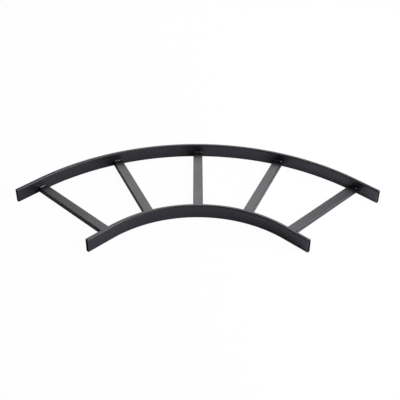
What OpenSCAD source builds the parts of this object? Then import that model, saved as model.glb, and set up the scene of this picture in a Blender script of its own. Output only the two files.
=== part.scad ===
// Flat 90 degree bend for a tubular cable ladder: two rolled side rails and five welded rungs.
// The ladder lies on its rails in the XY plane, the middle of the bend points along +Y,
// and the origin is the centre of the footprint, on the floor.

/* [Bend] */
// Angle that the ladder turns through, as such bends are sold
bend_angle = 90; // [30:15:90]
// Radius of the inner rail, to the middle of its tube
bend_radius = 300; // [200:1:600]
// Overall width of the ladder, across both rails
ladder_width = 300; // [150:1:600]
// Straight length of rail past the bend, at each end
straight_end = 76.2; // [40:0.1:200]

/* [Side rails] */
// Height of the rail tube
rail_height = 38.1; // [32:0.1:60]
// Thickness of the rail tube, across the ladder
rail_thickness = 9.525; // [8:0.025:16]
// Wall of the rail tube
rail_wall = 1.65; // [1:0.05:2.5]
// Outside corner radius of the rail tube
rail_corner = 3; // [2.6:0.1:3.8]

/* [Rungs] */
// Number of rungs, the first and last where the straight ends begin
rung_count = 5; // [3:1:7]
// Width of the rung tube, along the ladder
rung_width = 25.4; // [20:0.1:40]
// Height of the rung tube
rung_height = 12.7; // [10:0.1:20]
// Wall of the rung tube
rung_wall = 1.65; // [0.95:0.1:2.25]
// Outside corner radius of the rung tube
rung_corner = 1.6; // [1.2:0.1:4]
// Height of the rung's underside above the bottom of the rails
rung_lift = 2; // [1.6:0.1:8]

/* [Welds] */
// Leg of the fillet weld on top of each rung end
top_weld_leg = 4.5; // [3:0.1:6]
// Leg of the smaller weld under each rung end
under_weld_leg = 1.4; // [0.8:0.1:1.5]
// How far inside the corner a bead's round face is centred, in legs: more is flatter
weld_flatness = 0.5; // [0.2:0.1:2]
// Rounding of a bead's ends, in legs
weld_end_round = 0.6; // [0.2:0.05:0.9]

/* [Hidden] */
$fn = 128;
corner_fn = 32;
steel_black = [0.17, 0.17, 0.19];
weld_black = [0.22, 0.22, 0.23];

half_bend = bend_angle / 2;
rail_spacing = ladder_width - rail_thickness;
outer_radius = bend_radius + rail_spacing;
rung_top = rung_lift + rung_height;

// How far a straight length reaches into the bend, so that the two join at every angle
run_lap = 0.001;

// Footprint of the ladder measured from the centre of the bend, which puts the origin at its middle
far_side = outer_radius + rail_thickness / 2;
near_side = (bend_radius - rail_thickness / 2) * cos(half_bend) - straight_end * sin(half_bend);
bend_centre = [0, -(far_side + near_side) / 2, 0];

function rung_turn(i) = half_bend - i * bend_angle / (rung_count - 1);

RUNGS = [for (i = [1:rung_count]) str("rung_", i)];

// Filled tube outline, centred, with true round corners
module tube_outline(size, corner) {
    square([size.x - 2 * corner, size.y], center = true);
    square([size.x, size.y - 2 * corner], center = true);
    for (x = [-1, 1], y = [-1, 1])
        translate([x * (size.x / 2 - corner), y * (size.y / 2 - corner)])
            circle(r = corner, $fn = corner_fn);
}

// Hollow tube section of even wall
module tube_section(size, corner, wall) {
    difference() {
        tube_outline(size, corner);
        tube_outline(size - 2 * [wall, wall], max(corner - wall, wall / 5));
    }
}

// Sweep of a section along one rail: the bend and the straight length at each end
module along_rail(radius) {
    rotate([0, 0, 90 - half_bend])
        rotate_extrude(angle = bend_angle)
            rail_place(radius)
                children();
    for (side = [0, 1])
        mirror([side, 0, 0])
            rotate([0, 0, 90 - half_bend])
                straight_run(radius)
                    children();
}

// Straight length of rail that leaves the start of the bend along -Y
module straight_run(radius) {
    translate([0, run_lap, 0])
        rotate([90, 0, 0])
            linear_extrude(height = straight_end + run_lap)
                rail_place(radius)
                    children();
}

// Place of a rail section in its plane, standing on the floor
module rail_place(radius) {
    translate([radius, rail_height / 2])
        children();
}

module rail(radius) {
    along_rail(radius)
        tube_section([rail_thickness, rail_height], rail_corner, rail_wall);
}

// Both rails filled solid, which copes what is welded to them
module rail_envelopes() {
    for (radius = [bend_radius, outer_radius])
        along_rail(radius)
            tube_outline([rail_thickness, rail_height], rail_corner);
}

// Run of a section along rung i, from the middle of one rail to the middle of the other
module along_rung(i) {
    rotate([0, 0, rung_turn(i)])
        translate([0, bend_radius, rung_lift + rung_height / 2])
            rotate([-90, 0, 0])
                linear_extrude(height = rail_spacing)
                    children();
}

module rung(i) {
    color(steel_black)
        translate(bend_centre)
            difference() {
                along_rung(i)
                    tube_section([rung_width, rung_height], rung_corner, rung_wall);
                rail_envelopes();
            }
}

// Fillet section in the corner of a rail's rung side, at +X, and a rung face that looks up or down
module bead_section(leg, up) {
    face = rail_thickness / 2;
    level = (up > 0 ? rung_top : rung_lift) - rail_height / 2;
    set_in = leg * weld_flatness;
    translate([0, level])
        mirror([0, (1 - up) / 2])
            difference() {
                intersection() {
                    translate([face - set_in, -set_in])
                        circle(r = norm([leg + set_in, set_in]));
                    square([face + leg, leg]);
                }
                translate([0, -up * level])
                    tube_outline([rail_thickness, rail_height], rail_corner);
            }
}

// Upright block at rung i that keeps one bead as long as the rung's flat, with rounded ends in plan
module bead_place(i, face_radius, leg) {
    rotate([0, 0, rung_turn(i)])
        translate([0, face_radius, 0])
            linear_extrude(height = rail_height)
                tube_outline([rung_width - 2 * rung_corner, 2 * leg], leg * weld_end_round);
}

// Beads over and under every rung end at one rail; inward is the side of that rail the rungs are on
module welds(radius, inward) {
    face_radius = radius + inward * rail_thickness / 2;
    color(weld_black)
        translate(bend_centre)
            for (up = [1, -1]) {
                leg = up > 0 ? top_weld_leg : under_weld_leg;
                intersection() {
                    along_rail(radius)
                        mirror([(1 - inward) / 2, 0])
                            bead_section(leg, up);
                    for (i = [0:rung_count - 1])
                        bead_place(i, face_radius, leg);
                }
            }
}

module outer_rail() {
    color(steel_black)
        translate(bend_centre)
            rail(outer_radius);
}

module inner_rail() {
    color(steel_black)
        translate(bend_centre)
            rail(bend_radius);
}

module outer_welds() {
    welds(outer_radius, -1);
}

module inner_welds() {
    welds(bend_radius, 1);
}

outer_rail();
inner_rail();
for (i = [0:rung_count - 1])
    rung(i);
outer_welds();
inner_welds();
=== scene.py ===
"""Cable ladder bend in satin black powder coat: tube rails, tube rungs and weld beads.

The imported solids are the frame. Each node is replaced by a finer mesh of the same size and place:
rails with deburred open ends and a bore, rungs coped into the rail walls, and rippled weld beads.
All lengths are in metres.
"""

import logging
import math
import random
from dataclasses import dataclass, field
from enum import Enum

import bmesh
import bpy
from mathutils import Matrix, Vector


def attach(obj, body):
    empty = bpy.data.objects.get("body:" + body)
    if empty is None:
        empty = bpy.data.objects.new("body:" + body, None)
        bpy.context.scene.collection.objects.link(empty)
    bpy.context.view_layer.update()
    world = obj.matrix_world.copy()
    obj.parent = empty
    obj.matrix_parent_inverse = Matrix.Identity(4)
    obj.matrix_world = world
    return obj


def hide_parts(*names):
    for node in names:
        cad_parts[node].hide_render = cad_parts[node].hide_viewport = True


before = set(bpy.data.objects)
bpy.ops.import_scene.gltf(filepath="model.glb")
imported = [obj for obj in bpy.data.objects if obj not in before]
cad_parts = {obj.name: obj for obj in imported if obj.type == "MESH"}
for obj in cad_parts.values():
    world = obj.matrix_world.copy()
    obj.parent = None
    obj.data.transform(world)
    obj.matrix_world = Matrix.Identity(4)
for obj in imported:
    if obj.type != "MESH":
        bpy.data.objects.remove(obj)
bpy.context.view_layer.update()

log = logging.getLogger("cable_ladder_bend")

Colour = tuple[float, float, float, float]
Span = tuple[float, float]
Place = tuple[float, float, float]
Socket = bpy.types.NodeSocket
Feed = Socket | float | Colour

MM = 0.001
BODY = "root"
UP = Vector((0, 0, 1))
WHOLE: Span = (0.0, 1.0)
WHITE: Colour = (1.0, 1.0, 1.0, 1.0)
WHITE_STRENGTH = 1.0

# Values at each point of a mesh that the finishes read
EDGE_SHARE = "edge_share"
BORE_REACH = "bore_reach"

# Colour sockets of the mix node, by number because their names repeat
MIX_SHARE = 0
MIX_FIRST = 6
MIX_SECOND = 7
MIX_RESULT = 2


class Slot(Enum):
    """Material slots of the record, one for each kind of piece; the pieces are given their finishes
    directly.
    """

    POWDER_COAT = "powder_coat"
    WELD_COAT = "weld_coat"


class WallSide(Enum):
    """Side of a tube's wall, as the number of its finish among the piece's materials."""

    OUTSIDE = 0
    BORE = 1


class RailEnd(Enum):
    """End of a rail, as the sign of its distance from the middle of the bend."""

    LEFT = -1
    RIGHT = 1


class RailSide(Enum):
    """Side of a rail that the rungs meet, as the sign of the direction away from the bend's centre."""

    FACING_CENTRE = -1
    FACING_AWAY = 1


class RungFace(Enum):
    """Face of a rung's end that a weld bead lies on, as the sign of its direction."""

    TOP = 1
    UNDER = -1


class SocketKind(Enum):
    """Kinds of socket on a node group."""

    VECTOR = "NodeSocketVector"
    VALUE = "NodeSocketFloat"
    COLOUR = "NodeSocketColor"


class MathStep(Enum):
    """Steps of working out one value from two."""

    ADD = "ADD"
    MULTIPLY = "MULTIPLY"
    LARGER = "MAXIMUM"


@dataclass(frozen=True)
class SectionPoint:
    """One point of a tube's outline: its place in the section and how far it is on a rounded edge."""

    across: float
    up: float
    edge: float


@dataclass(frozen=True)
class TubeStock:
    """Rectangular steel tube: outside width and height, wall and outside corner radius.

    Attributes:
        least_corner: smallest radius of a corner of the bore, in walls.
        corner_steps: bands round each corner.
        flat_steps: bands across each flat.
    """

    width: float
    height: float
    wall: float
    corner: float
    least_corner: float = 0.2
    corner_steps: int = 6
    flat_steps: int = 4

    def loop(self, depth: float) -> list[SectionPoint]:
        """Outline of the tube at a depth below its outside skin.

        Args:
            depth: distance inwards from the skin, from 0 to the wall.

        Returns:
            The outline's points around the middle of the tube, as many at every depth.
        """
        arcs = [self._arc(quarter, depth) for quarter in range(4)]
        points = []
        for quarter, arc in enumerate(arcs):
            points += arc
            points += self._flat(arc[-1], arcs[(quarter + 1) % 4][0])
        return points

    def _arc(self, quarter: int, depth: float) -> list[SectionPoint]:
        """Round corner of the outline.

        Args:
            quarter: which corner, counted counter-clockwise from across and up.
            depth: distance inwards from the skin.

        Returns:
            The corner's points, from one flat to the next.
        """
        radius = max(self.corner - depth, self.wall * self.least_corner)
        side = 1 if quarter in (0, 3) else -1
        level = 1 if quarter in (0, 1) else -1
        points = []
        for step in range(self.corner_steps + 1):
            share = step / self.corner_steps
            angle = (quarter + share) * math.pi / 2
            points.append(SectionPoint(
                side * (self.width / 2 - self.corner) + radius * math.cos(angle),
                level * (self.height / 2 - self.corner) + radius * math.sin(angle),
                math.sin(share * math.pi),
            ))
        return points

    def _flat(self, start: SectionPoint, end: SectionPoint) -> list[SectionPoint]:
        """Points inside the flat between two corners.

        Args:
            start: last point of the corner before the flat.
            end: first point of the corner after it.

        Returns:
            The points between them, without the two ends.
        """
        points = []
        for step in range(1, self.flat_steps):
            share = step / self.flat_steps
            points.append(SectionPoint(
                start.across + share * (end.across - start.across),
                start.up + share * (end.up - start.up),
                0.0,
            ))
        return points


@dataclass(frozen=True)
class Station:
    """Place on a line in plan: a point on the floor, the way off the bend's centre, and the way on."""

    origin: Vector
    outward: Vector
    along: Vector

    def point(self, along: float, outward: float, up: float) -> Vector:
        """Point at these distances from the station."""
        return self.origin + self.along * along + self.outward * outward + UP * up


@dataclass(frozen=True)
class LadderPlan:
    """Plan of the ladder: the turn of the bend, its straight ends, its tubes and where they stand."""

    rail: TubeStock
    rung: TubeStock
    turn: float = math.radians(90)
    bend_radius: float = 300 * MM
    ladder_width: float = 300 * MM
    straight_end: float = 76.2 * MM
    rung_count: int = 5
    rung_lift: float = 2 * MM

    @property
    def outer_radius(self) -> float:
        """Radius of the outer rail, to the middle of its tube."""
        return self.bend_radius + self.ladder_width - self.rail.width

    @property
    def near_face(self) -> float:
        """Radius of the inner rail's face that the rungs meet."""
        return self.bend_radius + self.rail.width / 2

    @property
    def far_face(self) -> float:
        """Radius of the outer rail's face that the rungs meet."""
        return self.outer_radius - self.rail.width / 2

    @property
    def centre(self) -> Vector:
        """Centre of the bend.

        Returns:
            Its place, with the middle of the ladder's footprint at the origin.
        """
        half = self.turn / 2
        far_side = self.outer_radius + self.rail.width / 2
        near_radius = self.bend_radius - self.rail.width / 2
        near_side = near_radius * math.cos(half) - self.straight_end * math.sin(half)
        return Vector((0, -(far_side + near_side) / 2, 0))

    @property
    def rung_top(self) -> float:
        """Height of the rungs' tops above the floor."""
        return self.rung_lift + self.rung.height

    def half_length(self, radius: float) -> float:
        """Length of a rail of this radius from the middle of the bend to one end."""
        return radius * self.turn / 2 + self.straight_end

    def on_rail(self, radius: float, distance: float) -> Station:
        """Place on a rail's middle line.

        Args:
            radius: the rail's radius.
            distance: how far along the rail from the middle of the bend, to the right.

        Returns:
            The station, on the arc or on the straight end past it.
        """
        half = self.turn / 2
        angle = max(-half, min(half, distance / radius))
        spoke = self.on_spoke(angle)
        past = distance - angle * radius
        return Station(spoke.point(past, radius, 0), spoke.outward, spoke.along)

    def on_spoke(self, angle: float) -> Station:
        """Centre of the bend, facing along a spoke.

        Args:
            angle: turn of the spoke from the middle of the bend, to the right.

        Returns:
            The station at the centre.
        """
        outward = Vector((math.sin(angle), math.cos(angle), 0))
        along = Vector((math.cos(angle), -math.sin(angle), 0))
        return Station(self.centre, outward, along)

    def rung_angle(self, number: int) -> float:
        """Angle of a rung from the middle of the bend, number 1 at the left end."""
        return -self.turn / 2 + (number - 1) * self.turn / (self.rung_count - 1)


@dataclass
class SkinMesh:
    """Mesh in the making: rings of points joined by faces, with what the finishes read at each point."""

    points: list[Vector] = field(default_factory=list)
    edges: list[float] = field(default_factory=list)
    reaches: list[float] = field(default_factory=list)
    faces: list[tuple[int, ...]] = field(default_factory=list)
    finishes: list[int] = field(default_factory=list)

    def add_ring(self, ring: list[Vector], edges: list[float], reach: float = 0.0) -> list[int]:
        """Adds a ring of points.

        Args:
            ring: the points in order.
            edges: each point's share of a rounded edge.
            reach: how far into a bore the ring lies.

        Returns:
            The points' numbers in the mesh.
        """
        first = len(self.points)
        self.points += ring
        self.edges += edges
        self.reaches += [reach] * len(ring)
        return list(range(first, len(self.points)))

    def bridge(self, ring: list[int], following: list[int], side: WallSide = WallSide.OUTSIDE) -> None:
        """Joins two closed rings by a band of faces.

        Args:
            ring: the points of the first ring.
            following: the points of the next ring, as many.
            side: the side of the wall that the band lies on.
        """
        for spot, point in enumerate(ring):
            after = (spot + 1) % len(ring)
            self.faces.append((point, ring[after], following[after], following[spot]))
            self.finishes.append(side.value)

    def cap(self, ring: list[int]) -> None:
        """Closes a ring with one face."""
        self.faces.append(tuple(ring))
        self.finishes.append(WallSide.OUTSIDE.value)

    def make_piece(
        self, name: str, node: str, slot: Slot, finishes: list[bpy.types.Material]
    ) -> bpy.types.Object:
        """Makes the Blender object that stands for a CAD node.

        Args:
            name: the piece's name.
            node: the CAD node that it replaces.
            slot: the record's material slot; not used.
            finishes: its materials, in the order of their numbers on the faces.

        Returns:
            The piece, riding on the ladder's body.
        """
        mesh = bpy.data.meshes.new(name)
        mesh.from_pydata(self.points, [], self.faces)
        mesh.polygons.foreach_set("material_index", self.finishes)
        mesh.polygons.foreach_set("use_smooth", [True] * len(self.faces))
        for title, values in ((EDGE_SHARE, self.edges), (BORE_REACH, self.reaches)):
            mesh.attributes.new(title, "FLOAT", "POINT").data.foreach_set("value", values)
        for material in finishes:
            mesh.materials.append(material)
        shaped = bmesh.new()
        shaped.from_mesh(mesh)
        bmesh.ops.recalc_face_normals(shaped, faces=shaped.faces)
        shaped.to_mesh(mesh)
        shaped.free()
        piece = bpy.data.objects.new(name, mesh)
        bpy.context.scene.collection.objects.link(piece)
        flats = piece.modifiers.new("flat_faces_stay_flat", "WEIGHTED_NORMAL")
        flats.mode = "FACE_AREA_WITH_ANGLE"
        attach(piece, BODY)
        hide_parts(node)
        return piece


@dataclass
class SideRail:
    """One side rail: a rolled tube on edge, straight past the bend, sawn off and deburred at its ends.

    Attributes:
        outer_lip: radius of the deburred edge outside.
        bore_lip: radius of the deburred edge at the bore.
    """

    node: str
    plan: LadderPlan
    radius: float
    outer_lip: float = 0.45 * MM
    bore_lip: float = 0.3 * MM
    lip_steps: int = 4
    bend_steps: int = 128
    bore_bend_steps: int = 48
    straight_steps: int = 4
    skin: SkinMesh = field(default_factory=SkinMesh)

    def build(self) -> None:
        """Lays the rings of the outside skin from left to right, and of the bore back again."""
        wall = self.plan.rail.wall
        steps = range(self.lip_steps + 1)
        rings = [self._lip_ring(RailEnd.LEFT, step, 0.0, self.outer_lip) for step in steps]
        rings += [self._ring(place, 0.0) for place in self._places(self.bend_steps, self.outer_lip)]
        rings += [self._lip_ring(RailEnd.RIGHT, step, 0.0, self.outer_lip) for step in reversed(steps)]
        bore_from = len(rings)
        rings += [self._lip_ring(RailEnd.RIGHT, step, wall, -self.bore_lip) for step in steps]
        inside = [self._ring(place, wall) for place in self._places(self.bore_bend_steps, self.bore_lip)]
        rings += reversed(inside)
        rings += [self._lip_ring(RailEnd.LEFT, step, wall, -self.bore_lip) for step in reversed(steps)]
        for number, ring in enumerate(rings):
            following = rings[(number + 1) % len(rings)]
            in_bore = bore_from <= number < len(rings) - 1
            self.skin.bridge(ring, following, WallSide.BORE if in_bore else WallSide.OUTSIDE)

    def _places(self, bend_steps: int, lip: float) -> list[float]:
        """Places along the rail where a ring goes, between the lips of its two ends.

        Args:
            bend_steps: bands in the bend.
            lip: length that the rounded edge takes at each end.

        Returns:
            Distances from the middle of the bend, from left to right.
        """
        bend = self.radius * self.plan.turn / 2
        straight = self.plan.half_length(self.radius) - lip - bend
        right = [bend + straight * step / self.straight_steps for step in range(1, self.straight_steps)]
        arc = [bend * (2 * step / bend_steps - 1) for step in range(bend_steps + 1)]
        return [-place for place in reversed(right)] + arc + right

    def _ring(self, place: float, depth: float, edge: float = 0.0) -> list[int]:
        """Adds the tube's outline at a place along the rail.

        Args:
            place: distance from the middle of the bend.
            depth: distance inwards from the outside skin.
            edge: share of a rounded edge that the whole ring lies on.

        Returns:
            The ring's points.
        """
        station = self.plan.on_rail(self.radius, place)
        loop = self.plan.rail.loop(depth)
        middle = self.plan.rail.height / 2
        reach = self.plan.half_length(self.radius) - abs(place)
        return self.skin.add_ring(
            [station.point(0, spot.across, middle + spot.up) for spot in loop],
            [max(edge, spot.edge) for spot in loop],
            reach,
        )

    def _lip_ring(self, end: RailEnd, step: int, depth: float, lip: float) -> list[int]:
        """Adds one ring of the rounded edge at an end, from the sawn face onto the skin or bore.

        Args:
            end: the end of the rail.
            step: 0 on the sawn face, up to lip_steps on the skin or bore.
            depth: depth of the skin or bore that the edge runs into.
            lip: radius of the edge, negative where it turns into the bore.

        Returns:
            The ring's points.
        """
        angle = math.pi / 2 * step / self.lip_steps
        back = abs(lip) * (1 - math.cos(angle))
        in_wall = depth + lip * (1 - math.sin(angle))
        place = end.value * (self.plan.half_length(self.radius) - back)
        return self._ring(place, in_wall, edge=math.cos(angle / 2))

    def dress(self, coat: bpy.types.Material, bore: bpy.types.Material) -> bpy.types.Object:
        """Makes the piece that replaces the rail's node, coated outside and on its sawn ends."""
        return self.skin.make_piece(f"{self.node}_tube", self.node, Slot.POWDER_COAT, [coat, bore])


@dataclass
class Rung:
    """One rung: a straight tube between the rails, its ends coped to them and let into their walls."""

    number: int
    plan: LadderPlan
    let_in: float = 0.4 * MM
    length_steps: int = 12
    skin: SkinMesh = field(default_factory=SkinMesh)

    def build(self) -> None:
        """Lays the rings of the outside skin from the inner rail to the outer one, and of the bore back."""
        shares = [step / self.length_steps for step in range(self.length_steps + 1)]
        rings = [self._ring(share, 0.0) for share in shares]
        bore_from = len(rings)
        rings += [self._ring(share, self.plan.rung.wall) for share in reversed(shares)]
        for number, ring in enumerate(rings):
            following = rings[(number + 1) % len(rings)]
            self.skin.bridge(ring, following, WallSide.BORE if number >= bore_from else WallSide.OUTSIDE)

    def _ring(self, share: float, depth: float) -> list[int]:
        """Adds the tube's outline at a share of the rung's length.

        Args:
            share: 0 at the inner rail, 1 at the outer one.
            depth: distance inwards from the outside skin.

        Returns:
            The ring's points.
        """
        plan = self.plan
        station = plan.on_spoke(plan.rung_angle(self.number))
        loop = plan.rung.loop(depth)
        points = []
        for spot in loop:
            near = math.sqrt(plan.near_face ** 2 - spot.across ** 2) - self.let_in
            far = math.sqrt(plan.far_face ** 2 - spot.across ** 2) + self.let_in
            level = plan.rung_lift + plan.rung.height / 2 + spot.up
            points.append(station.point(spot.across, near + share * (far - near), level))
        reach = plan.ladder_width * (0.5 - abs(share - 0.5))
        return self.skin.add_ring(points, [spot.edge for spot in loop], reach)

    def dress(self, coat: bpy.types.Material, bore: bpy.types.Material) -> bpy.types.Object:
        """Makes the piece that replaces the rung's node, coated outside."""
        node = f"rung_{self.number}"
        return self.skin.make_piece(f"{node}_tube", node, Slot.POWDER_COAT, [coat, bore])


@dataclass(frozen=True)
class BeadSize:
    """Size of a weld bead and of its ripples.

    Attributes:
        leg: reach on the rail and on the rung.
        length: length across the rung.
        tuck: how far the bead reaches past the rail's face where that rounds away.
        ripple: height of the ripples.
        lump: height of the lumps at the bead's ends.
        shift: how far the bead lies to the right of the rung's middle.
        pitch: distance from ripple to ripple.
        bow: how far a ripple bows forwards in its middle, in legs.
        bulge: shape of the section, where 1 is round and 2 is flat.
        root: depth that the bead is let into rail and rung.
    """

    leg: float
    length: float
    tuck: float
    ripple: float
    lump: float
    shift: float = 0.0
    pitch: float = 2.5 * MM
    bow: float = 0.35
    bulge: float = 1.35
    root: float = 0.5 * MM


@dataclass(frozen=True)
class EndTaper:
    """How a weld bead falls off to one end: fullness keeps it full longer, slope ends it more softly."""

    fullness: float
    slope: float

    def swell(self, off_middle: float) -> float:
        """Share of the full size at a place that is 0 in the bead's middle and 1 at its end."""
        return (1 - off_middle ** self.fullness) ** self.slope


@dataclass(frozen=True)
class EndLump:
    """Lump left at one end of a weld bead: its place and reach along the bead, and its share of height."""

    place: float
    reach: float
    height: float

    def rise(self, share: float) -> float:
        """Height of the lump at a place along the bead."""
        return self.height * math.exp(-(((share - self.place) / self.reach) ** 2))


@dataclass
class WeldRow:
    """Fillet weld beads of one rail, over and under each rung's end.

    Attributes:
        face_radius: radius of the rail's face that the beads lie on.
        seed: seed of the beads' unevenness.
        waves: number of slow waves along a bead.
        wave_turns: fewest and most turns of a wave.
        unevenness: height of the waves, against the bead's leg.
        least_swell: size that a bead keeps at its very ends, against its leg.
        lump_spread: lowest and highest lump, against the bead's own size of lump.
    """

    node: str
    plan: LadderPlan
    face_radius: float
    side: RailSide
    seed: int
    sizes: dict[RungFace, BeadSize]
    start_taper: EndTaper = EndTaper(fullness=5.0, slope=0.4)
    stop_taper: EndTaper = EndTaper(fullness=3.4, slope=0.5)
    start_lump: EndLump = EndLump(place=0.11, reach=0.065, height=0.55)
    stop_lump: EndLump = EndLump(place=0.82, reach=0.09, height=1.0)
    waves: int = 3
    wave_turns: Span = (0.5, 2.5)
    unevenness: float = 0.06
    least_swell: float = 0.04
    lump_spread: Span = (0.75, 1.1)
    length_steps: int = 72
    round_steps: int = 12
    skin: SkinMesh = field(default_factory=SkinMesh)

    def build(self) -> None:
        """Lays every bead of the row."""
        chance = random.Random(self.seed)
        for number in range(1, self.plan.rung_count + 1):
            for face, size in self.sizes.items():
                self._bead(number, face, size, chance)

    def _bead(self, number: int, face: RungFace, size: BeadSize, chance: random.Random) -> None:
        """Lays one bead as rings across its length, closed at both ends.

        Args:
            number: which rung, counted from 1.
            face: the face of the rung that it lies on.
            size: the bead's size.
            chance: source of the bead's own unevenness.
        """
        station = self.plan.on_spoke(self.plan.rung_angle(number))
        flat = self.plan.rung_top if face is RungFace.TOP else self.plan.rung_lift
        waves = [
            (chance.uniform(*self.wave_turns), chance.uniform(0, math.tau)) for _ in range(self.waves)
        ]
        start_height = size.lump * chance.uniform(*self.lump_spread)
        stop_height = size.lump * chance.uniform(*self.lump_spread)
        rings = []
        for step in range(self.length_steps + 1):
            share = step / self.length_steps
            swell = self._swell(share, waves)
            lump = start_height * self.start_lump.rise(share) + stop_height * self.stop_lump.rise(share)
            across = (share - 0.5) * size.length + size.shift
            level = flat - face.value * self._edge_fall(across)
            ring = []
            for run, rise in self._profile(share, swell, lump, size):
                reach = math.sqrt(self.face_radius ** 2 - across ** 2) + self.side.value * run
                ring.append(station.point(across, reach, level + face.value * rise))
            rings.append(self.skin.add_ring(ring, [0.0] * len(ring)))
        for ring, following in zip(rings, rings[1:]):
            self.skin.bridge(ring, following)
        self.skin.cap(rings[0])
        self.skin.cap(rings[-1])

    def _swell(self, share: float, waves: list[Span]) -> float:
        """Size of a bead along its length, against its full leg.

        Args:
            share: 0 where the weld was started, 1 where it was left.
            waves: turns and phase of each slow wave.

        Returns:
            The share of the full leg.
        """
        taper = self.start_taper if share < 0.5 else self.stop_taper
        ends = taper.swell(abs(2 * share - 1))
        uneven = sum(math.sin(turns * math.tau * share + phase) for turns, phase in waves) / self.waves
        return max(self.least_swell, ends * (1 + self.unevenness * uneven))

    def _edge_fall(self, across: float) -> float:
        """How far the rung's rounded edge has fallen below its flat.

        Args:
            across: distance from the rung's middle.

        Returns:
            The fall, 0 on the flat.
        """
        stock = self.plan.rung
        past = min(max(0.0, abs(across) - (stock.width / 2 - stock.corner)), stock.corner)
        return stock.corner - math.sqrt(stock.corner ** 2 - past ** 2)

    def _profile(self, share: float, swell: float, lump: float, size: BeadSize) -> list[Span]:
        """Section of a bead across its length, with its root let into rail and rung.

        Args:
            share: place along the bead.
            swell: size of the bead there, against its full leg.
            lump: how far a lump stands out there.
            size: the bead's size.

        Returns:
            Distances from the rail's face and from the rung's face, around the section.
        """
        dive = size.root * (1 - min(1.0, swell))
        points = [(-size.root - size.tuck, -size.root), (size.leg * swell, -size.root)]
        for step in range(self.round_steps + 1):
            angle = math.pi / 2 * step / self.round_steps
            forwards = math.sin(2 * angle) * size.leg * size.bow
            hump = ((share * size.length + forwards) / size.pitch) % 1.0
            ripple = size.ripple * (1 - (2 * hump - 1) ** 2) + lump
            ripple *= math.sin(2 * angle) * min(1.0, swell)
            run = (size.leg + size.tuck) * math.cos(angle) ** size.bulge - size.tuck
            rise = size.leg * math.sin(angle) ** size.bulge
            points.append((
                run * swell + ripple * math.cos(angle) - dive,
                rise * swell + ripple * math.sin(angle) - dive,
            ))
        points.append((-size.root - size.tuck, size.leg * swell - dive))
        return points

    def dress(self, coat: bpy.types.Material) -> bpy.types.Object:
        """Makes the piece that replaces this row's node, in the weld's finish."""
        return self.skin.make_piece(f"{self.node}_beads", self.node, Slot.WELD_COAT, [coat])


@dataclass
class NodeBench:
    """Node tree in the making: adds nodes from left to right and joins their sockets."""

    tree: bpy.types.NodeTree
    spacing: int = 220

    def add(self, kind: str, **settings: object) -> bpy.types.Node:
        """Adds a node.

        Args:
            kind: Blender's name of the node's type.
            **settings: properties of the node.

        Returns:
            The node.
        """
        node = self.tree.nodes.new(kind)
        node.location = (self.spacing * len(self.tree.nodes), 0)
        for name, value in settings.items():
            setattr(node, name, value)
        return node

    def feed(self, socket: Socket, value: Feed) -> None:
        """Links one input from another node's socket, or sets it to a constant.

        Args:
            socket: the input.
            value: the socket to link from, or the constant.
        """
        if isinstance(value, Socket):
            self.tree.links.new(value, socket)
        else:
            socket.default_value = value

    def fill(self, node: bpy.types.Node, values: dict[str, Feed]) -> None:
        """Feeds several inputs of a node, each by its name."""
        for name, value in values.items():
            self.feed(node.inputs[name], value)

    def noise(self, vector: Socket, scale: Feed, octaves: float) -> Socket:
        """Noise over the surface.

        Args:
            vector: coordinates that it reads.
            scale: cells for each metre.
            octaves: how much finer noise is added.

        Returns:
            Its value, about 0.5 on average.
        """
        node = self.add("ShaderNodeTexNoise")
        self.fill(node, {"Vector": vector, "Scale": scale, "Detail": octaves})
        return node.outputs[0]

    def ramp(self, value: Socket, source: Span, target: Span) -> Socket:
        """Value carried smoothly from one range to another.

        Args:
            value: the value.
            source: lowest and highest value that count.
            target: what those become.

        Returns:
            The new value.
        """
        node = self.add("ShaderNodeMapRange", interpolation_type="SMOOTHSTEP")
        self.fill(node, {
            "Value": value,
            "From Min": source[0],
            "From Max": source[1],
            "To Min": target[0],
            "To Max": target[1],
        })
        return node.outputs[0]

    def blend(self, share: Feed, first: Feed, second: Feed) -> Socket:
        """Colour between two others.

        Args:
            share: how much of the second there is.
            first: the colour at 0.
            second: the colour at 1.

        Returns:
            The blended colour.
        """
        node = self.add("ShaderNodeMix", data_type="RGBA")
        for number, value in ((MIX_SHARE, share), (MIX_FIRST, first), (MIX_SECOND, second)):
            self.feed(node.inputs[number], value)
        return node.outputs[MIX_RESULT]

    def calculate(self, step: MathStep, first: Feed, second: Feed) -> Socket:
        """Value worked out from two others.

        Args:
            step: what is done with them.
            first: one value.
            second: the other value.

        Returns:
            The result.
        """
        node = self.add("ShaderNodeMath", operation=step.value)
        for socket, value in zip(node.inputs, (first, second)):
            self.feed(socket, value)
        return node.outputs[0]

    def show_white(
        self, share: Socket, plain: bpy.types.Node, white: bpy.types.Node, surface: bpy.types.Node
    ) -> None:
        """Mixes a plain white into a shader and sends it to the output.

        Args:
            share: how much white there is.
            plain: the shader without it.
            white: the white shader.
            surface: the tree's output node.
        """
        mix = self.add("ShaderNodeMixShader")
        for socket, value in zip(mix.inputs, (share, plain.outputs[0], white.outputs[0])):
            self.feed(socket, value)
        self.fill(surface, {"Surface": mix.outputs[0]})


def start_material(name: str) -> tuple[bpy.types.Material, NodeBench, bpy.types.Node]:
    """Starts a material.

    Args:
        name: the material's name.

    Returns:
        The material, a bench with its tree, and its shader.
    """
    material = bpy.data.materials.new(name)
    material.use_nodes = True
    return material, NodeBench(material.node_tree), material.node_tree.nodes["Principled BSDF"]


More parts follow.
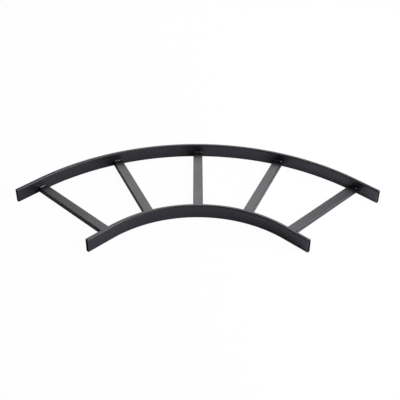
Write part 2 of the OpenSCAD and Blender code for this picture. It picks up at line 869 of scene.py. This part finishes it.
@dataclass
class CoatEffects:
    """Node groups that more than one finish uses, each built once.

    Attributes:
        grain_share: height of the fine grain, against the slow waves.
        patch_span: noise that turns from no gloss patch to a full one.
        cloud_span: noise that turns from a full film to its thinnest.
        cloud_thinning: how thin the film is at the two ends of that span.
        broken_scale: cells for each metre of what breaks up the thin edges.
        broken_span: noise that turns from the least worn edge to the most.
        edge_thinning: how thin the film is on those edges.
    """

    wave_octaves: float = 2.0
    grain_octaves: float = 1.0
    grain_share: float = 0.3
    patch_octaves: float = 3.0
    patch_span: Span = (0.3, 0.7)
    cloud_octaves: float = 4.0
    cloud_span: Span = (0.35, 0.7)
    cloud_thinning: Span = (0.0, 0.35)
    broken_scale: float = 260.0
    broken_octaves: float = 3.0
    broken_span: Span = (0.3, 0.7)
    edge_thinning: Span = (0.1, 0.6)
    groups: dict[str, bpy.types.NodeTree] = field(default_factory=dict)

    def _start_group(
        self, name: str, inputs: dict[str, SocketKind], outputs: dict[str, SocketKind]
    ) -> NodeBench:
        """Starts a node group.

        Args:
            name: the group's name.
            inputs: kind of each input by its name.
            outputs: kind of each output by its name.

        Returns:
            A bench with the group's tree.
        """
        tree = bpy.data.node_groups.new(name, "ShaderNodeTree")
        for way, sockets in (("INPUT", inputs), ("OUTPUT", outputs)):
            for title, kind in sockets.items():
                tree.interface.new_socket(name=title, in_out=way, socket_type=kind.value)
        self.groups[name] = tree
        return NodeBench(tree)

    def orange_peel(self) -> bpy.types.NodeTree:
        """Relief of a powder coat: slow waves of flow with a fine grain, and patches of gloss.

        Returns:
            The group, with the relief's Height and a Gloss Patch from 0 to 1.
        """
        name = "orange_peel"
        if name in self.groups:
            return self.groups[name]
        bench = self._start_group(
            name,
            inputs={
                "Vector": SocketKind.VECTOR,
                "Wave Scale": SocketKind.VALUE,
                "Grain Scale": SocketKind.VALUE,
                "Patch Scale": SocketKind.VALUE,
            },
            outputs={"Height": SocketKind.VALUE, "Gloss Patch": SocketKind.VALUE},
        )
        source = bench.add("NodeGroupInput").outputs
        waves = bench.noise(source["Vector"], source["Wave Scale"], self.wave_octaves)
        grain = bench.noise(source["Vector"], source["Grain Scale"], self.grain_octaves)
        patch = bench.noise(source["Vector"], source["Patch Scale"], self.patch_octaves)
        fine = bench.calculate(MathStep.MULTIPLY, grain, self.grain_share)
        bench.fill(bench.add("NodeGroupOutput"), {
            "Height": bench.calculate(MathStep.ADD, waves, fine),
            "Gloss Patch": bench.ramp(patch, self.patch_span, WHOLE),
        })
        return bench.tree

    def film_tone(self) -> bpy.types.NodeTree:
        """Colour of a coat that is thicker here and there, and thin on rounded edges.

        Returns:
            The group, with the Tone of the film.
        """
        name = "film_tone"
        if name in self.groups:
            return self.groups[name]
        bench = self._start_group(
            name,
            inputs={
                "Vector": SocketKind.VECTOR,
                "Full Colour": SocketKind.COLOUR,
                "Thin Colour": SocketKind.COLOUR,
                "Edge Share": SocketKind.VALUE,
                "Cloud Scale": SocketKind.VALUE,
            },
            outputs={"Tone": SocketKind.COLOUR},
        )
        source = bench.add("NodeGroupInput").outputs
        cloud = bench.noise(source["Vector"], source["Cloud Scale"], self.cloud_octaves)
        slow = bench.ramp(cloud, self.cloud_span, self.cloud_thinning)
        broken = bench.noise(source["Vector"], self.broken_scale, self.broken_octaves)
        worn = bench.ramp(broken, self.broken_span, self.edge_thinning)
        on_edge = bench.calculate(MathStep.MULTIPLY, source["Edge Share"], worn)
        thin = bench.calculate(MathStep.LARGER, slow, on_edge)
        tone = bench.blend(thin, source["Full Colour"], source["Thin Colour"])
        bench.fill(bench.add("NodeGroupOutput"), {"Tone": tone})
        return bench.tree


@dataclass(frozen=True)
class CoatRelief:
    """Relief of a finish: waves, grain and gloss patches in cells for each metre, and how it stands out."""

    wave_scale: float
    grain_scale: float
    patch_scale: float
    height: float
    strength: float

    def lay(self, bench: NodeBench, effects: CoatEffects, place: Socket) -> tuple[Socket, Socket]:
        """Places the relief in a material, with the bump that it feeds.

        Args:
            bench: a bench with the material's tree.
            effects: the shared node groups.
            place: coordinates that the relief reads.

        Returns:
            The gloss patches, from 0 to 1, and the bumped normal.
        """
        peel = bench.add("ShaderNodeGroup", node_tree=effects.orange_peel())
        bench.fill(peel, {
            "Vector": place,
            "Wave Scale": self.wave_scale,
            "Grain Scale": self.grain_scale,
            "Patch Scale": self.patch_scale,
        })
        bump = bench.add("ShaderNodeBump")
        bench.fill(bump, {
            "Height": peel.outputs["Height"],
            "Strength": self.strength,
            "Distance": self.height,
        })
        return peel.outputs["Gloss Patch"], bump.outputs["Normal"]


@dataclass(frozen=True)
class PowderCoat:
    """Satin black powder coat: fine orange peel, a little thinner and paler on edges."""

    name: str = "satin_black_powder_coat"
    full_colour: Colour = (0.0024, 0.0023, 0.0036, 1.0)
    thin_colour: Colour = (0.0050, 0.0048, 0.0066, 1.0)
    roughness: Span = (0.38, 0.405)
    cloud_scale: float = 9.0
    relief: CoatRelief = CoatRelief(
        wave_scale=420.0, grain_scale=2600.0, patch_scale=16.0, height=0.05 * MM, strength=0.35
    )

    def material(self, effects: CoatEffects) -> bpy.types.Material:
        """Makes the finish's material.

        Args:
            effects: the shared node groups.

        Returns:
            The material.
        """
        material, bench, shader = start_material(self.name)
        place = bench.add("ShaderNodeTexCoord").outputs["Object"]
        edge = bench.add("ShaderNodeAttribute", attribute_name=EDGE_SHARE).outputs["Fac"]
        film = bench.add("ShaderNodeGroup", node_tree=effects.film_tone())
        bench.fill(film, {
            "Vector": place,
            "Full Colour": self.full_colour,
            "Thin Colour": self.thin_colour,
            "Edge Share": edge,
            "Cloud Scale": self.cloud_scale,
        })
        gloss, normal = self.relief.lay(bench, effects, place)
        bench.fill(shader, {
            "Base Color": film.outputs["Tone"],
            "Roughness": bench.ramp(gloss, WHOLE, self.roughness),
            "Normal": normal,
        })
        return material


@dataclass(frozen=True)
class WeldCoat(PowderCoat):
    """The same coat over weld beads, where it runs thin in small patches and lies a little shinier."""

    name: str = "powder_coat_on_welds"
    full_colour: Colour = (0.0040, 0.0040, 0.0060, 1.0)
    thin_colour: Colour = (0.012, 0.012, 0.014, 1.0)
    roughness: Span = (0.27, 0.36)
    cloud_scale: float = 120.0
    relief: CoatRelief = CoatRelief(
        wave_scale=700.0, grain_scale=3000.0, patch_scale=180.0, height=0.08 * MM, strength=0.35
    )


@dataclass(frozen=True)
class TubeBore:
    """Inside of a tube: black overspray at the mouth that thins out to dull mill steel.

    Attributes:
        spray_reach: depths at which the overspray starts to thin out and ends.
        ragged: how far those depths wander.
        cloud_span: noise that wanders from the one side to the other.
        metal: how metallic the bare steel is.
    """

    name: str = "tube_bore_steel"
    spray_colour: Colour = (0.0035, 0.0035, 0.0040, 1.0)
    steel_colour: Colour = (0.085, 0.080, 0.076, 1.0)
    spray_reach: Span = (30 * MM, 140 * MM)
    ragged: float = 14 * MM
    cloud_scale: float = 130.0
    cloud_octaves: float = 4.0
    cloud_span: Span = (0.25, 0.75)
    roughness: Span = (0.72, 0.88)
    specular: float = 0.2
    metal: float = 0.75
    relief: CoatRelief = CoatRelief(
        wave_scale=300.0, grain_scale=1900.0, patch_scale=60.0, height=0.06 * MM, strength=0.4
    )

    def material(self, effects: CoatEffects) -> bpy.types.Material:
        """Makes the finish's material.

        Args:
            effects: the shared node groups.

        Returns:
            The material.
        """
        material, bench, shader = start_material(self.name)
        place = bench.add("ShaderNodeTexCoord").outputs["Object"]
        depth = bench.add("ShaderNodeAttribute", attribute_name=BORE_REACH).outputs["Fac"]
        cloud = bench.noise(place, self.cloud_scale, self.cloud_octaves)
        wander = bench.ramp(cloud, self.cloud_span, (-self.ragged, self.ragged))
        bare = bench.ramp(bench.calculate(MathStep.ADD, depth, wander), self.spray_reach, WHOLE)
        gloss, normal = self.relief.lay(bench, effects, place)
        bench.fill(shader, {
            "Base Color": bench.blend(bare, self.spray_colour, self.steel_colour),
            "Metallic": bench.calculate(MathStep.MULTIPLY, bare, self.metal),
            "Specular IOR Level": self.specular,
            "Roughness": bench.ramp(gloss, WHOLE, self.roughness),
            "Normal": normal,
        })
        return material


@dataclass(frozen=True)
class SoftBox:
    """Studio softbox: where it hangs, its size and brightness, and what it is aimed at."""

    name: str
    place: Place
    width: float
    height: float
    radiance: float
    aim: Place = (0.0, 0.0, 0.0)
    colour: tuple[float, float, float] = (1.0, 0.965, 0.985)

    def hang(self) -> None:
        """Adds the lamp, out of the camera's sight."""
        lamp = bpy.data.lights.new(self.name, "AREA")
        lamp.shape = "RECTANGLE"
        lamp.size = self.width
        lamp.size_y = self.height
        lamp.energy = self.radiance * math.pi * self.width * self.height
        lamp.color = self.colour
        box = bpy.data.objects.new(self.name, lamp)
        box.location = self.place
        way = Vector(self.aim) - Vector(self.place)
        box.rotation_euler = way.to_track_quat("-Z", "Y").to_euler()
        box.visible_camera = False
        bpy.context.scene.collection.objects.link(box)


@dataclass
class Studio:
    """White floor and surround, with softboxes behind, at the right, and dim ones on the other sides.

    Attributes:
        floor_sight: share of plain white in the floor that the camera sees, which leaves a faint shadow.
        surround_sight: the same share in the surround.
        mirror: share of plain white in the floor and surround that a reflection shows.
        surround_light: light of the surround itself.
    """

    boxes: tuple[SoftBox, ...]
    floor_radius: float = 8.0
    floor_sides: int = 64
    floor_colour: Colour = (0.77, 0.80, 0.94, 1.0)
    floor_roughness: float = 0.9
    floor_specular: float = 0.0
    floor_sight: float = 0.97
    surround_sight: float = 1.0
    mirror: float = 0.05
    surround_light: float = 0.0

    def build(self) -> None:
        """Lays the floor, sets the surround and hangs the softboxes."""
        self._lay_floor()
        self._set_surround()
        for box in self.boxes:
            box.hang()
        bpy.context.scene.view_settings.view_transform = "Standard"

    def _white_share(self, bench: NodeBench, sight: float) -> Socket:
        """Share of plain white that a ray meets.

        Args:
            bench: the tree that it is worked out in.
            sight: the share for the camera.

        Returns:
            The share, 0 for the rays that carry light.
        """
        rays = bench.add("ShaderNodeLightPath").outputs
        seen = bench.calculate(MathStep.MULTIPLY, rays["Is Camera Ray"], sight)
        bounced = bench.calculate(MathStep.LARGER, rays["Is Glossy Ray"], rays["Is Transmission Ray"])
        mirrored = bench.calculate(MathStep.MULTIPLY, bounced, self.mirror)
        return bench.calculate(MathStep.LARGER, seen, mirrored)

    def _lay_floor(self) -> None:
        """Lays a white floor that keeps a faint shadow."""
        disc = bmesh.new()
        bmesh.ops.create_circle(disc, cap_ends=True, segments=self.floor_sides, radius=self.floor_radius)
        mesh = bpy.data.meshes.new("studio_floor")
        disc.to_mesh(mesh)
        disc.free()
        floor = bpy.data.objects.new("studio_floor", mesh)
        bpy.context.scene.collection.objects.link(floor)
        material, bench, matt = start_material("white_floor")
        bench.fill(matt, {
            "Base Color": self.floor_colour,
            "Roughness": self.floor_roughness,
            "Specular IOR Level": self.floor_specular,
        })
        white = bench.add("ShaderNodeEmission")
        bench.fill(white, {"Color": WHITE, "Strength": WHITE_STRENGTH})
        share = self._white_share(bench, self.floor_sight)
        bench.show_white(share, matt, white, bench.tree.nodes["Material Output"])
        mesh.materials.append(material)

    def _set_surround(self) -> None:
        """Sets a surround that the camera sees as white, and that leaves the lighting to the softboxes."""
        world = bpy.data.worlds.new("studio_surround")
        bpy.context.scene.world = world
        world.use_nodes = True
        bench = NodeBench(world.node_tree)
        plain = bench.tree.nodes["Background"]
        bench.fill(plain, {"Color": WHITE, "Strength": self.surround_light})
        white = bench.add("ShaderNodeBackground")
        bench.fill(white, {"Color": WHITE, "Strength": WHITE_STRENGTH})
        share = self._white_share(bench, self.surround_sight)
        bench.show_white(share, plain, white, bench.tree.nodes["World Output"])


@dataclass(frozen=True)
class PhotoCamera:
    """Camera at the photograph's viewing angle, with the frame's middle on its aim."""

    aim: Place = (5.03 * MM, -28.33 * MM, 19.05 * MM)
    azimuth: float = math.radians(-0.53)
    elevation: float = math.radians(35.66)
    roll: float = math.radians(-0.51)
    distance: float = 2009.7 * MM
    lens: float = 69.74
    sensor: float = 36.0

    def place(self) -> None:
        """Adds the camera and makes it the scene's own."""
        data = bpy.data.cameras.new("photo_camera")
        data.lens = self.lens
        data.sensor_width = self.sensor
        camera = bpy.data.objects.new("photo_camera", data)
        back = Vector((
            math.sin(self.azimuth) * math.cos(self.elevation),
            -math.cos(self.azimuth) * math.cos(self.elevation),
            math.sin(self.elevation),
        ))
        right = UP.cross(back).normalized()
        upright = Matrix((right, back.cross(right), back)).transposed().to_4x4()
        stand = Matrix.Translation(Vector(self.aim) + back * self.distance)
        camera.matrix_world = stand @ upright @ Matrix.Rotation(-self.roll, 4, "Z")
        bpy.context.scene.collection.objects.link(camera)
        bpy.context.scene.camera = camera


def ladder_tubes(plan: LadderPlan) -> list[SideRail | Rung]:
    """Tubes of the ladder.

    Args:
        plan: the ladder's plan and sizes.

    Returns:
        The two rails and the rungs, not yet built.
    """
    outer = SideRail("outer_rail", plan, plan.outer_radius)
    inner = SideRail("inner_rail", plan, plan.bend_radius)
    return [outer, inner] + [Rung(number, plan) for number in range(1, plan.rung_count + 1)]


def weld_rows(plan: LadderPlan) -> list[WeldRow]:
    """Weld beads of the ladder.

    Args:
        plan: the ladder's plan and sizes.

    Returns:
        A row of beads for each rail, not yet built.
    """
    sizes = {
        RungFace.TOP: BeadSize(
            leg=4.5 * MM, length=24.6 * MM, tuck=0.0, ripple=0.2 * MM, lump=1.3 * MM, shift=0.4 * MM
        ),
        RungFace.UNDER: BeadSize(leg=1.4 * MM, length=22 * MM, tuck=0.6 * MM, ripple=0.08 * MM, lump=0.0),
    }
    return [
        WeldRow("outer_welds", plan, plan.far_face, RailSide.FACING_CENTRE, seed=11, sizes=sizes),
        WeldRow("inner_welds", plan, plan.near_face, RailSide.FACING_AWAY, seed=23, sizes=sizes),
    ]


def softboxes() -> tuple[SoftBox, ...]:
    """Lamps of the studio.

    Returns:
        The softboxes, not yet hung.
    """
    return (
        SoftBox("softbox_behind_low", place=(0.0, 1.93, 0.96), width=1.7, height=0.54, radiance=1.9),
        SoftBox("softbox_behind", place=(0.0, 1.65, 1.41), width=1.43, height=0.54, radiance=4.8),
        SoftBox("softbox_behind_high", place=(0.12, 1.27, 1.78), width=0.8, height=0.54, radiance=6.6),
        SoftBox("softbox_right", place=(1.66, -0.64, 1.29), width=1.9, height=0.85, radiance=9.8),
        SoftBox("softbox_right_low", place=(1.95, 0.87, 0.53), width=1.14, height=0.85, radiance=5.5),
        SoftBox("softbox_right_near", place=(1.14, -0.38, 0.35), width=0.5, height=0.5, radiance=14.5),
        SoftBox("softbox_left", place=(-1.9, 0.0, 0.8), width=1.4, height=0.8, radiance=0.1),
        SoftBox("softbox_front", place=(0.0, -2.0, 1.1), width=1.4, height=0.8, radiance=0.55),
        SoftBox("softbox_above", place=(0.0, 0.0, 2.3), width=1.0, height=0.8, radiance=0.6),
    )


def report(piece: bpy.types.Object) -> None:
    """Reports a finished piece and the size of its mesh."""
    log.info("%s: %d points, %d faces", piece.name, len(piece.data.vertices), len(piece.data.polygons))


def main() -> None:
    """Builds the ladder's tubes and welds, the studio and the camera, and reports each piece."""
    logging.basicConfig(level=logging.INFO, format="%(message)s")
    plan = LadderPlan(
        rail=TubeStock(width=9.525 * MM, height=38.1 * MM, wall=1.65 * MM, corner=3 * MM),
        rung=TubeStock(width=25.4 * MM, height=12.7 * MM, wall=1.65 * MM, corner=1.6 * MM),
    )
    effects = CoatEffects()
    coat = PowderCoat().material(effects)
    weld_coat = WeldCoat().material(effects)
    bore = TubeBore().material(effects)
    for tube in ladder_tubes(plan):
        tube.build()
        report(tube.dress(coat, bore))
    for row in weld_rows(plan):
        row.build()
        report(row.dress(weld_coat))
    Studio(softboxes()).build()
    PhotoCamera().place()


if __name__ == "__main__":
    main()
